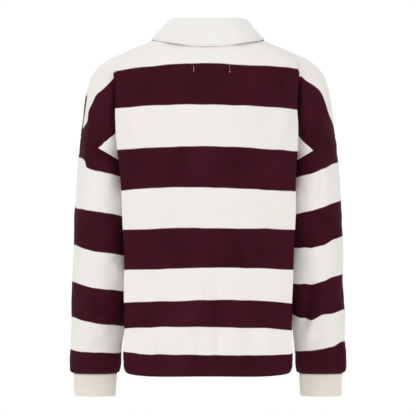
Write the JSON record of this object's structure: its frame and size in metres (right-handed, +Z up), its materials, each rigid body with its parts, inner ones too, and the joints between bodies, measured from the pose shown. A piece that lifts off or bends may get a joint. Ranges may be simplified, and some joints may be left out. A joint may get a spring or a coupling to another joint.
{
  "type": "polo shirt",
  "caption": "Long-sleeved polo shirt with graded burgundy and cream stripes, dropped shoulders, cream collar, buttoned front placket and beige ribbed cuffs, filled out with no wearer.",
  "frame": {"origin": "middle of the neck opening at the height of the wearer's shoulders, which carry the shirt", "axes": "+Z up towards the collar's top fold, -Y towards the front with its placket, +X towards the wearer's left arm"},
  "size_m": [0.4978, 0.2437, 0.6774],
  "materials": {
    "back_panel": "heavy cotton jersey, burgundy striped with cream",
    "front_panel": "heavy cotton jersey, burgundy striped with cream",
    "sleeve_left": "heavy cotton jersey, burgundy striped with cream",
    "sleeve_right": "heavy cotton jersey, burgundy striped with cream",
    "cuff_left": "beige rib knit",
    "cuff_right": "beige rib knit",
    "collar": "cream cotton twill",
    "placket_upper": "cream cotton twill",
    "placket_under": "cream cotton twill",
    "button_top": "pearly cream",
    "button_middle": "pearly cream",
    "button_bottom": "pearly cream"
  },
  "bodies": {
    "root": {"back_panel": "back_panel", "front_panel": "front_panel", "sleeve_left": "sleeve_left", "sleeve_right": "sleeve_right", "cuff_left": "cuff_left", "cuff_right": "cuff_right", "collar": "collar", "placket_upper": "placket_upper", "placket_under": "placket_under", "button_top": "button_top", "button_middle": "button_middle", "button_bottom": "button_bottom"}
  },
  "joints": []
}
